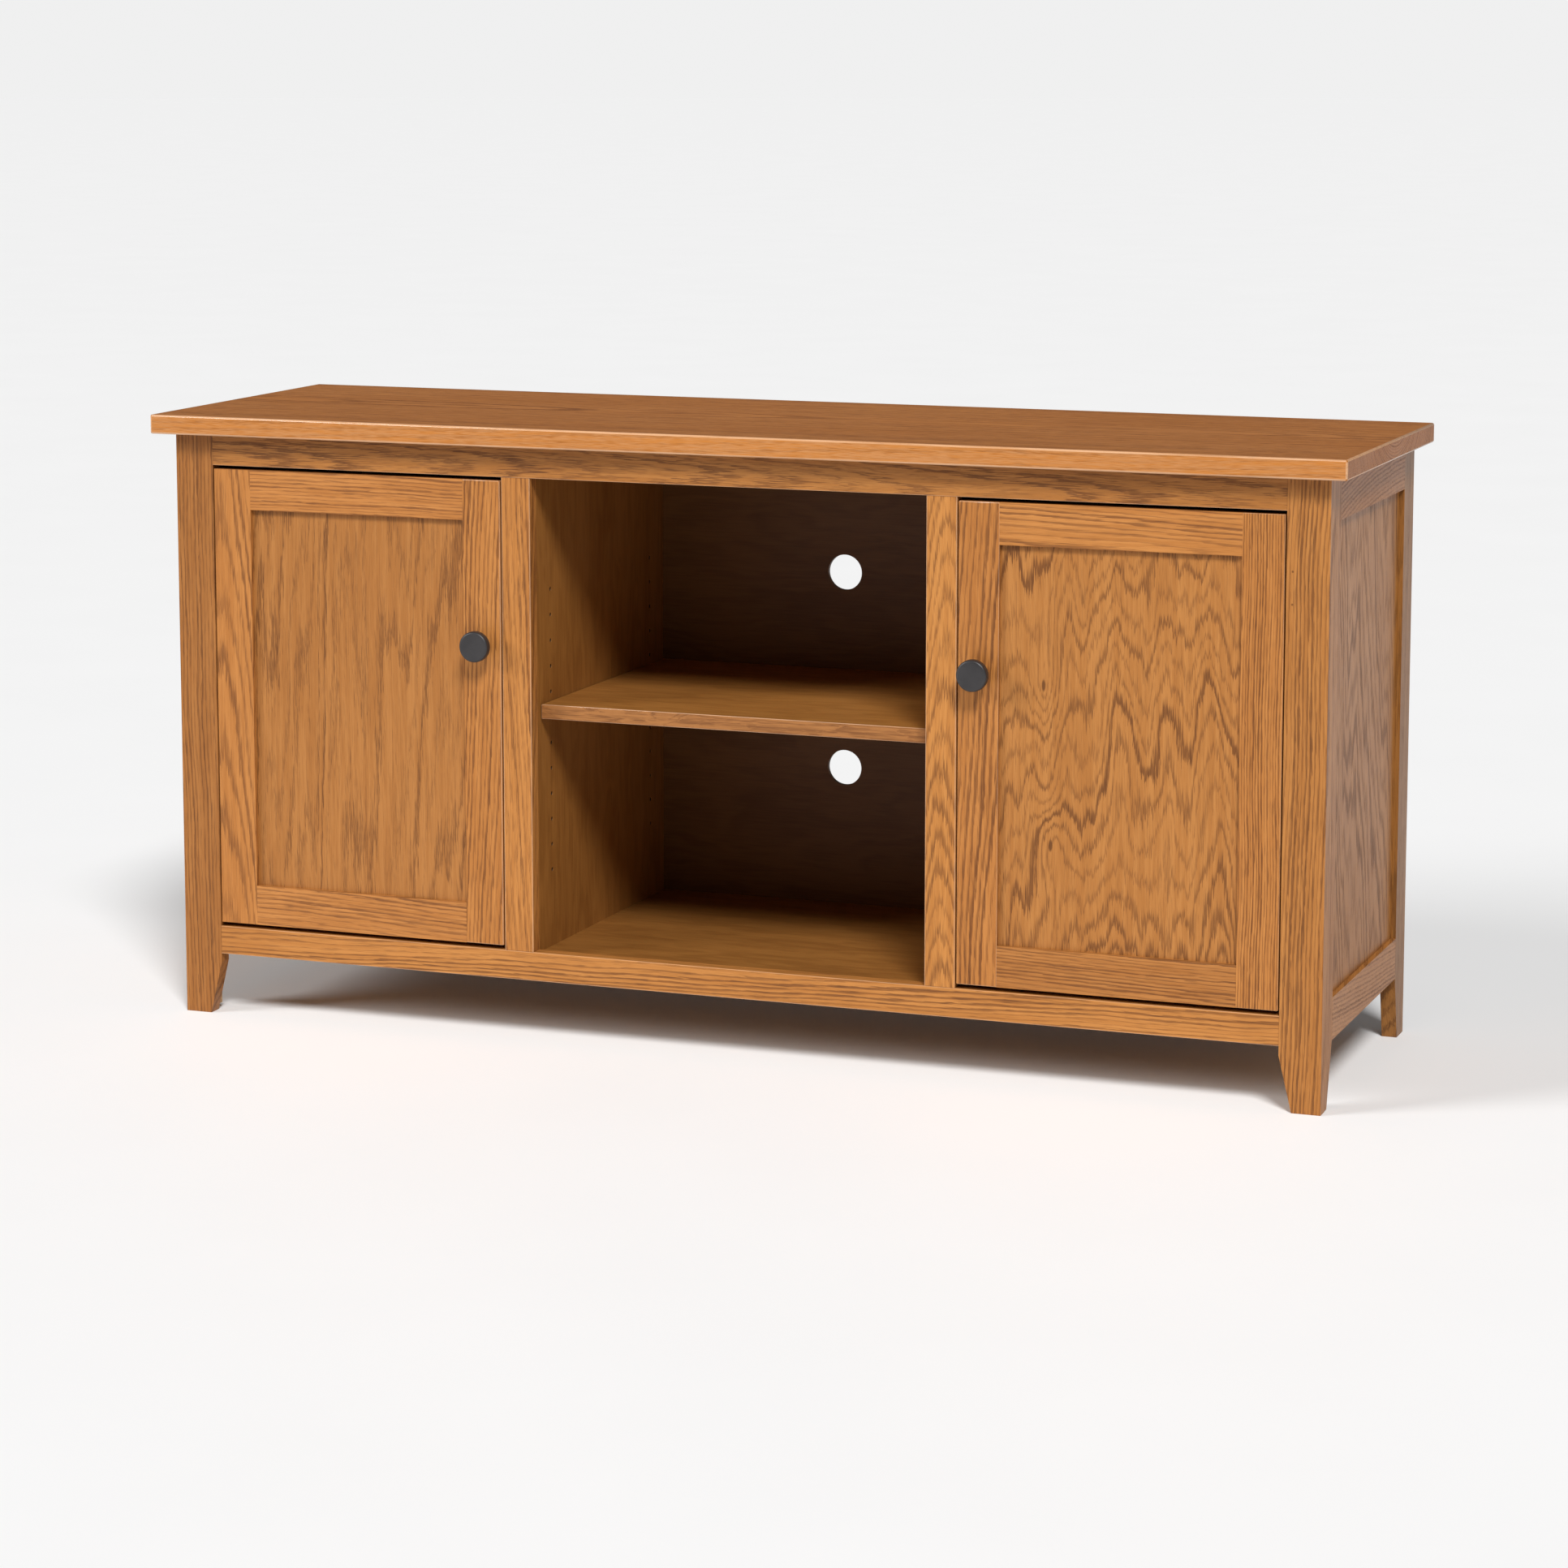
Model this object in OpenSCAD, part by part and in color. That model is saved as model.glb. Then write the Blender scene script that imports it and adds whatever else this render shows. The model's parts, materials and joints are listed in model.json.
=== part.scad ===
// Media cabinet: an oak case on four tapered feet, with two inset doors beside an open centre bay.
// Origin: bottom centre of the whole cabinet. +X right, +Y back, +Z up. Millimetres.
// Every piece is drawn for the right-hand side, with y = 0 on the front of the case, and then placed.

/* [Overall] */
// Width of the top, left to right
top_w = 1524; // [1200:1:1900]
// Depth of the top, front to back
top_d = 462.5; // [380:0.5:600]
// Height of the whole cabinet
cabinet_h = 765; // [600:1:950]
// Thickness of the top
top_t = 24; // [18:0.5:36]
// How far the top stands past each side of the case
side_overhang = 23.5; // [5:0.5:40]
// How far the top stands past the front of the case
front_overhang = 23.5; // [5:0.5:40]
// How far the top stands past the back of the case
back_overhang = 3; // [0:0.5:20]

/* [Face frame] */
// Thickness of the frame boards
board_t = 19; // [16:0.5:24]
// Width of the outer stiles
outer_stile_w = 50.8; // [40:0.1:70]
// Width of the stiles beside the centre bay
centre_stile_w = 38.1; // [30:0.1:60]
// Width of the open centre bay
centre_bay_w = 509; // [300:1:700]
// Height of the top rail
top_rail_h = 39; // [30:0.5:70]
// Height of the bottom rail
bottom_rail_h = 36; // [28:0.5:70]
// Clear height under the bottom rails
leg_h = 78; // [50:1:140]
// Height at which the front of a foot starts to taper
front_taper_h = 67; // [30:1:120]
// How much the front of a foot narrows
front_taper = 16; // [0:0.5:25]

/* [Side frames] */
// Width of the front stile of a side, behind the face frame
side_front_stile_w = 31.8; // [25:0.1:60]
// Width of the back stile of a side
side_back_stile_w = 50.8; // [40:0.1:70]
// Height of a side's top rail
side_top_rail_h = 53; // [40:0.5:90]
// Height of a side's bottom rail
side_bottom_rail_h = 51; // [40:0.5:90]
// How much the side of a front foot narrows
side_taper = 21.5; // [0:0.5:24]
// How much a back foot narrows
back_taper = 17; // [0:0.5:30]

/* [Panels and grooves] */
// Thickness of the flat panels in the doors and sides
panel_t = 6.4; // [4:0.1:8]
// How far a panel lies behind the face of its frame
panel_recess = 6.3; // [3:0.1:9]
// Depth of the grooves that hold the panels
groove_depth = 9.5; // [6:0.5:14]
// Spare width of a groove over its panel or tongue
groove_slack = 0.1; // [0.02:0.01:0.4]
// Room left past the edge of a panel in its groove
panel_float = 1.5; // [0.5:0.1:3]
// Room left past the end of a tongue in its groove
tongue_float = 0.4; // [0.1:0.1:1]

/* [Inside] */
// Thickness of the plywood floor, dividers, shelves and stretchers
ply_t = 18; // [15:0.5:22]
// Thickness of the back panel
back_t = 6.4; // [3:0.1:10]
// How far the back panel lies in from the back of the case
back_inset = 4.6; // [1:0.1:12]
// Width of the rabbets that hold the back panel
rabbet_w = 9.5; // [6:0.5:13]
// Step down from the bottom rail to the floor panel
floor_step = 3.6; // [0:0.1:12]
// Depth of the stretchers under the top
stretcher_d = 80; // [50:1:120]
// Diameter of the cable holes
cable_hole_d = 46; // [20:1:80]
// Height of the lower cable hole
cable_low_z = 290; // [180:1:340]
// Height of the upper cable hole
cable_high_z = 546; // [460:1:640]

/* [Shelves] */
// Height of the lowest shelf hole
hole_start_z = 207; // [150:1:260]
// Pitch of the shelf holes
hole_pitch = 32; // [25:0.5:40]
// Number of holes in a column
hole_count = 12; // [6:1:14]
// Hole that carries the shelf, counted from 0 at the bottom
shelf_hole = 6; // [2:1:9]
// Distance of the front column from the front of the case
hole_front_y = 60; // [50:1:110]
// Distance of the back column from the back panel
hole_back_gap = 45; // [30:1:110]
// Radius of a shelf pin
shelf_pin_r = 2.5; // [2:0.1:4]
// Radial room round a shelf pin
shelf_pin_fit = 0.05; // [0.01:0.01:0.1]
// Depth of a shelf hole
shelf_hole_depth = 8.5; // [6:0.5:12]
// How far the centre shelf lies behind the front of the case
centre_shelf_setback = 27; // [20:1:45]
// How far the side shelves lie behind the front of the case
side_shelf_setback = 48; // [44:1:90]
// Room at each end of a shelf
shelf_gap = 1.5; // [0.5:0.1:3]
// Thickness of the strips under the side shelves
cleat_t = 12; // [10:0.5:20]
// Height of the strips under the side shelves
cleat_h = 20; // [14:0.5:30]

/* [Doors] */
// Thickness of a door
door_t = 19; // [18:0.5:22]
// Width of a door's stiles and rails
door_frame_w = 50; // [45:0.5:80]
// Gap beside a door
door_side_gap = 2; // [1.9:0.1:4]
// Gap above a door
door_top_gap = 4.4; // [1.5:0.1:6]
// Gap below a door
door_bottom_gap = 5.4; // [1.5:0.1:8]

/* [Knobs] */
// Diameter of a knob
knob_d = 38; // [24:0.5:50]
// Thickness of a knob's disc
knob_disc_t = 11; // [6:0.5:16]
// How far a knob stands out from its door
knob_projection = 28; // [20:0.5:40]
// Height of the knobs above the floor
knob_z = 495; // [300:1:560]

/* [Hinges] */
// Distance of the hinges from the ends of a door
hinge_inset = 90; // [60:1:140]
// Distance of a hinge pin from the edge of its door
pin_edge = 24; // [23:0.5:26]
// Distance of a hinge pin behind the front of its door
pin_depth = 9; // [8.5:0.1:9.5]
// Radius of a hinge pin
pin_r = 1.5; // [1:0.1:2]
// Radial room round a hinge pin
pin_fit = 0.05; // [0.01:0.01:0.1]
// Diameter of a hinge cup
cup_d = 35; // [34:0.5:36]
// Depth of a hinge cup
cup_depth = 13.9; // [13.5:0.1:14.5]
// Thickness of a hinge arm
arm_t = 2; // [1.5:0.1:2.5]
// Height of a hinge arm
arm_h = 11; // [8:0.5:12]
// Angle of the arm as it leaves the cup, from straight back
arm_angle = 50; // [45:1:52]
// Room between a hinge arm and the corner of the door
arm_room = 0.8; // [0.4:0.1:1.5]

/* [Hidden] */
$fn = 48;

// Length of cut that clears a face
past = 1;

// Case
case_w = top_w - 2 * side_overhang;
case_d = top_d - front_overhang - back_overhang;
case_h = cabinet_h - top_t;
face_y = (max(front_overhang, knob_projection) - case_d - back_overhang) / 2;
case_x = case_w / 2;
side_in_x = case_x - board_t;
stile_in_x = case_x - outer_stile_w;
bay_x = centre_bay_w / 2;
bay_stile_x = bay_x + centre_stile_w;
divider_x = bay_x + ply_t;
opening_low_z = leg_h + bottom_rail_h;
opening_high_z = case_h - top_rail_h;
back_y = case_d - back_inset - back_t;
floor_top_z = opening_low_z - floor_step;
floor_low_z = floor_top_z - ply_t;
stretcher_z = case_h - ply_t;
side_stile_y = board_t + side_front_stile_w;
side_back_y = case_d - side_back_stile_w;
side_rail_low_z = case_h - side_top_rail_h;
side_rail_high_z = leg_h + side_bottom_rail_h;

// Grooves, tongues and panels lie in the middle of their boards
groove_y = panel_recess;
groove_w = panel_t + groove_slack;
tongue_y = panel_recess + groove_slack / 2;
tongue_l = groove_depth - tongue_float;
panel_in = groove_depth - panel_float;

// Shelves
support_z = hole_start_z + shelf_hole * hole_pitch;
support_top = shelf_pin_r + 0.5;
shelf_z = support_z + support_top;
hole_back_y = back_y - hole_back_gap;
support_pin_l = 8;
support_l = 9;
support_w = 8;
support_t = 1.6;
cleat_front_y = side_shelf_setback + 12;
cleat_back_y = back_y - 10;

// Floor cleats and foot blocks
floor_cleat_h = 14;
floor_cleat_w = 18;
front_cleat_end = 40;
foot_block_w = 14;
foot_block_lift = 6;

// Doors
door_hinge_x = stile_in_x - door_side_gap;
door_lock_x = bay_stile_x + door_side_gap;
door_low_z = opening_low_z + door_bottom_gap;
door_high_z = opening_high_z - door_top_gap;
hinge_stile_x = door_hinge_x - door_frame_w;
lock_stile_x = door_lock_x + door_frame_w;
door_rail_low_z = door_low_z + door_frame_w;
door_rail_high_z = door_high_z - door_frame_w;

// Knobs
knob_x = door_lock_x + door_frame_w / 2;
knob_base_r = 8;
knob_base_t = 2;
knob_neck_r = 5.5;
knob_rim_r = 2.5;
knob_screw_r = 2;
knob_screw_head_r = 4.5;
knob_screw_head_t = 2.2;
knob_thread_depth = 14;
knob_screw_reach = 12;

// Hinges
pin_x = door_hinge_x - pin_edge;
hinge_z = [door_low_z + hinge_inset, door_high_z - hinge_inset];
cup_wall = 1.2;
cup_floor = 1;
cup_room = 0.1;
cup_floor_y = door_t - cup_depth;
cup_in_r = cup_d / 2 - cup_wall;
pin_hole_fit = 0.02;
pin_end = cup_d / 2 - 0.3;
eye_r = pin_r + pin_fit + 0.85;
flange_t = 1;
flange_r = cup_d / 2 + 2;
flange_ear_w = 15;
flange_ear_h = 56;
flange_screw_x = pin_x - 9.5;
flange_screw_z = 22.5;
arm_in_r = sqrt(pow(pin_edge, 2) + pow(max(pin_depth, door_t - pin_depth), 2)) + arm_room;
arm_out_r = arm_in_r + arm_t;
arm_seat = board_t - pin_depth;
arm_foot_x = pin_x + sqrt(pow(arm_out_r, 2) - pow(arm_seat, 2)) - arm_t / 2;
arm_plate_x = min(stile_in_x, arm_foot_x);
arm_plate_w = 26;
arm_plate_h = 40;
arm_screw_x = stile_in_x + 14;
arm_screw_z = 13;

// Catches
catch_z = door_high_z - 58;
catch_l = 34;
catch_d = 14;
catch_h = 12;
catch_gap = 0.3;
catch_flange_t = 2;
catch_flange_h = 32;
catch_screw_z = 11;
strike_t = 1.2 + max(0, board_t - door_t);
strike_w = 22;
strike_inset = 2.5;
catch_y = door_t + strike_t + catch_gap;
magnet_l = 9;
magnet_h = 8;
magnet_d = 4;
magnet_end = 2;

// Screws
screw_room = 0.05;
screw_clearance = 0.3;
slot_w = 0.9;
slot_depth = 0.6;
top_screw_r = 2.2;
top_screw_head_r = 4.2;
top_screw_head_t = 2;
top_screw_bite = 14;
back_screw_r = 1.4;
back_screw_head_r = 3.3;
back_screw_head_t = 1.4;
back_screw_bite = 12;
hinge_screw_r = 1.6;
hinge_screw_head_r = 3.3;
hinge_screw_head_t = 1.6;
hinge_screw_bite = 12;
cup_screw_bite = 11;
top_screw_x = [for (side = [-1, 1], share = [0.28, 0.86]) side * share * side_in_x];
top_screw_y = [board_t + stretcher_d / 2, back_y - stretcher_d / 2];
back_screw_x = [
    for (side = [-1, 1]) side * (side_in_x + rabbet_w / 2),
    for (side = [-1, 1]) side * (bay_x + ply_t / 2)
];
back_screw_z = [
    for (step = [1 : 4]) floor_top_z + step * (stretcher_z - floor_top_z) / 5
];
edge_screw_x = [for (side = [-1, 1], share = [0.15, 0.6, 0.8]) side * share * side_in_x];
edge_screw_z = [floor_low_z + ply_t / 2, case_h - ply_t / 2];

// Colours
oak = [0.66, 0.40, 0.19];
oak_dark = [0.56, 0.33, 0.16];
oak_panel = [0.71, 0.43, 0.20];
plywood = [0.55, 0.36, 0.17];
graphite = [0.20, 0.20, 0.21];
steel = [0.70, 0.71, 0.72];
white_plastic = [0.86, 0.86, 0.84];

// Puts a right-hand piece in the cabinet, mirrored for the left
module placed(side = "right") {
    translate([0, face_y, 0])
        if (side == "left") mirror([1, 0, 0]) children();
        else children();
}

// Turns a piece drawn as part of a front into the cabinet's side
module in_side() {
    translate([case_x, 0, 0]) rotate([0, 0, 90]) children();
}

// Both mirrored copies of a right-hand piece
module both_sides() {
    children();
    mirror([1, 0, 0]) children();
}

// Board between two opposite corners
module board(low, high) {
    translate(low) cube(high - low);
}

// Board of a given thickness with an outline in x and z
module shaped_board(outline, thickness) {
    translate([0, thickness, 0]) rotate([90, 0, 0]) linear_extrude(thickness) polygon(outline);
}

// Cylinder along +Y from a start point
module rod_y(start, length, radius) {
    translate(start) rotate([-90, 0, 0]) cylinder(h = length, r = radius);
}

// Groove along an upright edge at x
module upright_groove(x, low_z, high_z) {
    board([x - groove_depth, groove_y, low_z], [x + groove_depth, groove_y + groove_w, high_z]);
}

// Groove along a level edge at z
module level_groove(z, x0, x1) {
    board([x0, groove_y, z - groove_depth], [x1, groove_y + groove_w, z + groove_depth]);
}

// Rail with a tongue at each end and a groove along one edge
module grooved_rail(x0, x1, low_z, high_z, thickness, groove_z) {
    difference() {
        union() {
            board([x0, 0, low_z], [x1, thickness, high_z]);
            board([x0 - tongue_l, tongue_y, low_z], [x1 + tongue_l, tongue_y + panel_t, high_z]);
        }
        level_groove(groove_z, x0 - groove_depth, x1 + groove_depth);
    }
}

// Flat panel that fills an opening and reaches into its grooves
module flat_panel(x0, x1, low_z, high_z) {
    board(
        [x0 - panel_in, tongue_y, low_z - panel_in],
        [x1 + panel_in, tongue_y + panel_t, high_z + panel_in]
    );
}

// Screw that points along -Y, with its head's seat at the start point
module screw_forward(seat, bite, radius, head_r, head_t) {
    rod_y(seat - [0, bite, 0], bite, radius);
    difference() {
        rod_y(seat, head_t, head_r);
        translate(seat + [0, head_t, 0]) {
            cube([slot_w, 2 * slot_depth, head_r * 1.3], center = true);
            cube([head_r * 1.3, 2 * slot_depth, slot_w], center = true);
        }
    }
}

// Top

module top_screw_shanks(radius) {
    for (x = top_screw_x, y = top_screw_y)
        translate([x, y, stretcher_z - past])
            cylinder(h = ply_t + top_screw_bite + past, r = radius);
}

module top_panel() {
    color(oak) placed() difference() {
        board(
            [-top_w / 2, -front_overhang, case_h],
            [top_w / 2, case_d + back_overhang, cabinet_h]
        );
        top_screw_shanks(top_screw_r + screw_room);
    }
}

module stretcher(front_y) {
    difference() {
        board([-side_in_x, front_y, stretcher_z], [side_in_x, front_y + stretcher_d, case_h]);
        top_screw_shanks(top_screw_r + screw_clearance);
        back_screw_shanks(back_screw_r + screw_room);
    }
}

module front_stretcher() {
    color(plywood) placed() stretcher(board_t);
}

module back_stretcher() {
    color(plywood) placed() stretcher(back_y - stretcher_d);
}

module top_screws() {
    color(steel) placed() for (x = top_screw_x, y = top_screw_y) {
        translate([x, y, stretcher_z]) cylinder(h = ply_t + top_screw_bite, r = top_screw_r);
        translate([x, y, stretcher_z - top_screw_head_t]) difference() {
            cylinder(h = top_screw_head_t, r = top_screw_head_r);
            cube([slot_w, top_screw_head_r * 1.3, 2 * slot_depth], center = true);
            cube([top_screw_head_r * 1.3, slot_w, 2 * slot_depth], center = true);
        }
    }
}

// Face frame

module face_stile() {
    difference() {
        shaped_board([
            [case_x, 0],
            [case_x, case_h],
            [stile_in_x, case_h],
            [stile_in_x, front_taper_h],
            [stile_in_x + front_taper, 0]
        ], board_t);
        for (z = hinge_z, step = [-1, 1])
            rod_y(
                [arm_screw_x, board_t - hinge_screw_bite, z + step * arm_screw_z],
                hinge_screw_bite + past,
                hinge_screw_r + screw_room
            );
    }
}

module left_face_stile() {
    color(oak) placed("left") face_stile();
}

module right_face_stile() {
    color(oak) placed() face_stile();
}

module centre_stile() {
    board([bay_x, 0, opening_low_z], [bay_stile_x, board_t, opening_high_z]);
}

module left_centre_stile() {
    color(oak) placed("left") centre_stile();
}

module right_centre_stile() {
    color(oak) placed() centre_stile();
}

module face_top_rail() {
    color(oak_dark) placed() board([-stile_in_x, 0, opening_high_z], [stile_in_x, board_t, case_h]);
}

module face_bottom_rail() {
    color(oak_dark) placed() board([-stile_in_x, 0, leg_h], [stile_in_x, board_t, opening_low_z]);
}

// Sides

module side_front_stile() {
    in_side() difference() {
        shaped_board([
            [board_t, 0],
            [side_stile_y - side_taper, 0],
            [side_stile_y, leg_h],
            [side_stile_y, case_h],
            [board_t, case_h]
        ], board_t);
        upright_groove(side_stile_y, leg_h, case_h + past);
    }
}

module side_back_stile() {
    difference() {
        in_side() difference() {
            shaped_board([
                [case_d, 0],
                [case_d, case_h],
                [side_back_y, case_h],
                [side_back_y, leg_h],
                [side_back_y + back_taper, 0]
            ], board_t);
            upright_groove(side_back_y, leg_h, case_h + past);
            board(
                [back_y, board_t - rabbet_w, floor_low_z],
                [case_d + past, board_t + past, case_h + past]
            );
        }
        back_screw_shanks(back_screw_r + screw_room);
    }
}

module side_top_rail() {
    in_side() grooved_rail(
        side_stile_y, side_back_y, side_rail_low_z, case_h, board_t, side_rail_low_z
    );
}

module side_bottom_rail() {
    in_side() grooved_rail(
        side_stile_y, side_back_y, leg_h, side_rail_high_z, board_t, side_rail_high_z
    );
}

module side_panel() {
    in_side() flat_panel(side_stile_y, side_back_y, side_rail_high_z, side_rail_low_z);
}

module left_side_front_stile() {
    color(oak) placed("left") side_front_stile();
}

module right_side_front_stile() {
    color(oak) placed() side_front_stile();
}

module left_side_back_stile() {
    color(oak) placed("left") side_back_stile();
}

module right_side_back_stile() {
    color(oak) placed() side_back_stile();
}

module left_side_top_rail() {
    color(oak_dark) placed("left") side_top_rail();
}

module right_side_top_rail() {
    color(oak_dark) placed() side_top_rail();
}

module left_side_bottom_rail() {
    color(oak_dark) placed("left") side_bottom_rail();
}

module right_side_bottom_rail() {
    color(oak_dark) placed() side_bottom_rail();
}

module left_side_panel() {
    color(oak_panel) placed("left") side_panel();
}

module right_side_panel() {
    color(oak_panel) placed() side_panel();
}

// Inside of the case

module shelf_holes() {
    for (y = [hole_front_y, hole_back_y], step = [0 : hole_count - 1])
        translate([bay_x - past, y, hole_start_z + step * hole_pitch])
            rotate([0, 90, 0])
                cylinder(h = shelf_hole_depth + past, r = shelf_pin_r + shelf_pin_fit);
}

module catch_screw_places() {
    for (step = [-1, 1])
        translate([divider_x, catch_y + catch_d / 2, catch_z + step * catch_screw_z])
            rotate([0, 90, 0]) children();
}

module divider() {
    difference() {
        board([bay_x, board_t, floor_top_z], [divider_x, back_y, stretcher_z]);
        shelf_holes();
        back_screw_shanks(back_screw_r + screw_room);
        catch_screw_places()
            translate([0, 0, -hinge_screw_bite / 2])
                cylinder(h = hinge_screw_bite, r = back_screw_r + screw_room);
    }
}

module left_divider() {
    color(plywood) placed("left") divider();
}

module right_divider() {
    color(plywood) placed() divider();
}

module floor_panel() {
    color(plywood) placed() difference() {
        board([-side_in_x, board_t, floor_low_z], [side_in_x, back_y, floor_top_z]);
        back_screw_shanks(back_screw_r + screw_room);
    }
}

module floor_cleats() {
    low_z = floor_low_z - floor_cleat_h;
    color(oak_dark) placed() {
        both_sides()
            board([side_in_x - floor_cleat_w, board_t, low_z], [side_in_x, back_y, floor_low_z]);
        board(
            [front_cleat_end - side_in_x, board_t, low_z],
            [side_in_x - front_cleat_end, board_t + floor_cleat_w, floor_low_z]
        );
    }
}

module foot_blocks() {
    color(oak_dark) placed() both_sides()
        board(
            [side_in_x - foot_block_w, board_t, foot_block_lift],
            [side_in_x, board_t + foot_block_w, floor_low_z - floor_cleat_h]
        );
}

module back_screw_places() {
    for (x = back_screw_x, z = back_screw_z) translate([x, back_y, z]) children();
    for (x = edge_screw_x, z = edge_screw_z) translate([x, back_y, z]) children();
}

module back_screw_shanks(radius) {
    back_screw_places() rod_y([0, -back_screw_bite, 0], back_screw_bite + back_t + past, radius);
}

module back_panel() {
    edge_x = side_in_x + rabbet_w - tongue_float;
    color(plywood) placed() difference() {
        board([-edge_x, back_y, floor_low_z], [edge_x, back_y + back_t, case_h]);
        for (z = [cable_low_z, cable_high_z])
            rod_y([0, back_y - past, z], back_t + 2 * past, cable_hole_d / 2);
        back_screw_shanks(back_screw_r + screw_clearance);
    }
}

module back_panel_screws() {
    color(steel) placed() back_screw_places()
        screw_forward(
            [0, back_t, 0],
            back_t + back_screw_bite,
            back_screw_r,
            back_screw_head_r,
            back_screw_head_t
        );
}

// Shelves

module side_shelf() {
    board(
        [divider_x + shelf_gap, side_shelf_setback, shelf_z],
        [side_in_x - shelf_gap, back_y - shelf_gap, shelf_z + ply_t]
    );
}

module left_shelf() {
    color(plywood) placed("left") side_shelf();
}

module right_shelf() {
    color(plywood) placed() side_shelf();
}

module shelf_cleats() {
    color(oak_dark) placed() both_sides()
        for (x = [divider_x, side_in_x - cleat_t])
            board([x, cleat_front_y, shelf_z - cleat_h], [x + cleat_t, cleat_back_y, shelf_z]);
}

module shelf_support() {
    rotate([0, 90, 0]) cylinder(h = support_pin_l, r = shelf_pin_r);
    board(
        [-support_l, -support_w / 2, support_top - support_t],
        [0, support_w / 2, support_top]
    );
    translate([-support_l / 2, 0, 0])
        rotate([0, 90, 0]) cylinder(h = support_l / 2, r = shelf_pin_r);
}

module centre_shelf_supports() {
    color(steel) placed() both_sides()
        for (y = [hole_front_y, hole_back_y])
            translate([bay_x, y, support_z]) shelf_support();
}

module centre_shelf() {
    shelf_x = bay_x - shelf_gap;
    color(plywood) placed()
        board(
            [-shelf_x, centre_shelf_setback, shelf_z],
            [shelf_x, back_y - shelf_gap, shelf_z + ply_t]
        );
}

// Doors

module cup_screw_places() {
    for (z = hinge_z, step = [-1, 1])
        translate([flange_screw_x, door_t + flange_t, z + step * flange_screw_z]) children();
}

module hinge_stile() {
    difference() {
        board([hinge_stile_x, 0, door_low_z], [door_hinge_x, door_t, door_high_z]);
        upright_groove(hinge_stile_x, door_low_z - past, door_high_z + past);
        for (z = hinge_z)
            rod_y([pin_x, cup_floor_y - cup_room, z], cup_depth + past, cup_d / 2 + cup_room);
        cup_screw_places()
            rod_y([0, -cup_screw_bite, 0], cup_screw_bite, back_screw_r + screw_room);
    }
}

module lock_stile() {
    difference() {
        board([door_lock_x, 0, door_low_z], [lock_stile_x, door_t, door_high_z]);
        upright_groove(lock_stile_x, door_low_z - past, door_high_z + past);
        rod_y([knob_x, -past, knob_z], door_t + 2 * past, knob_screw_r + screw_clearance);
    }
}

module door_top_rail() {
    grooved_rail(
        lock_stile_x, hinge_stile_x, door_rail_high_z, door_high_z, door_t, door_rail_high_z
    );
}

module door_bottom_rail() {
    grooved_rail(
        lock_stile_x, hinge_stile_x, door_low_z, door_rail_low_z, door_t, door_rail_low_z
    );
}

module door_panel() {
    flat_panel(lock_stile_x, hinge_stile_x, door_rail_low_z, door_rail_high_z);
}

// Points of an arc in a knob's outline
function arc(centre, radius, from, to, steps) = [
    for (i = [0 : steps])
        let (a = from + (to - from) * i / steps)
            centre + radius * [cos(a), sin(a)]
];

module knob() {
    disc_back = knob_projection - knob_disc_t;
    rim_x = knob_d / 2 - knob_rim_r;
    neck_bend = disc_back - knob_base_t - knob_rim_r;
    outline = concat(
        [[0, 0], [knob_base_r, 0], [knob_base_r, knob_base_t]],
        arc([knob_neck_r + neck_bend, disc_back], neck_bend, 230, 180, 4),
        arc([rim_x, disc_back + knob_rim_r], knob_rim_r, -90, 0, 5),
        arc([rim_x, knob_projection - knob_rim_r], knob_rim_r, 0, 90, 5),
        [[0, knob_projection]]
    );
    translate([knob_x, 0, knob_z]) rotate([90, 0, 0]) difference() {
        rotate_extrude() polygon(outline);
        translate([0, 0, -past])
            cylinder(h = knob_thread_depth + past, r = knob_screw_r + screw_room);
    }
}

module knob_screw() {
    screw_forward(
        [knob_x, door_t, knob_z],
        door_t + knob_screw_reach,
        knob_screw_r,
        knob_screw_head_r,
        knob_screw_head_t
    );
}

module hinge_cups() {
    for (z = hinge_z) translate([pin_x, 0, z]) difference() {
        union() {
            rod_y([0, cup_floor_y, 0], cup_depth, cup_d / 2);
            rod_y([0, door_t, 0], flange_t, flange_r);
            translate([flange_screw_x - pin_x, door_t + flange_t / 2, 0])
                cube([flange_ear_w, flange_t, flange_ear_h], center = true);
        }
        rod_y([0, cup_floor_y + cup_floor, 0], cup_depth + past, cup_in_r);
        translate([0, pin_depth, -pin_end])
            cylinder(h = 2 * pin_end, r = pin_r + pin_hole_fit);
        for (step = [-1, 1])
            rod_y(
                [flange_screw_x - pin_x, door_t - past, step * flange_screw_z],
                flange_t + 2 * past,
                back_screw_r + screw_clearance
            );
    }
}

module hinge_pins() {
    for (z = hinge_z)
        translate([pin_x, pin_depth, z - pin_end]) cylinder(h = 2 * pin_end, r = pin_r);
}

module cup_screws() {
    cup_screw_places()
        screw_forward([0, 0, 0], cup_screw_bite, back_screw_r, hinge_screw_head_r, back_screw_head_t);
}

module strike_plate() {
    board(
        [door_lock_x + strike_inset, door_t, catch_z - catch_h / 2],
        [door_lock_x + strike_inset + strike_w, door_t + strike_t, catch_z + catch_h / 2]
    );
}

module left_door_hinge_stile() {
    color(oak) placed("left") hinge_stile();
}

module right_door_hinge_stile() {
    color(oak) placed() hinge_stile();
}

module left_door_lock_stile() {
    color(oak) placed("left") lock_stile();
}

module right_door_lock_stile() {
    color(oak) placed() lock_stile();
}

module left_door_top_rail() {
    color(oak_dark) placed("left") door_top_rail();
}

module right_door_top_rail() {
    color(oak_dark) placed() door_top_rail();
}

module left_door_bottom_rail() {
    color(oak_dark) placed("left") door_bottom_rail();
}

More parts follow.
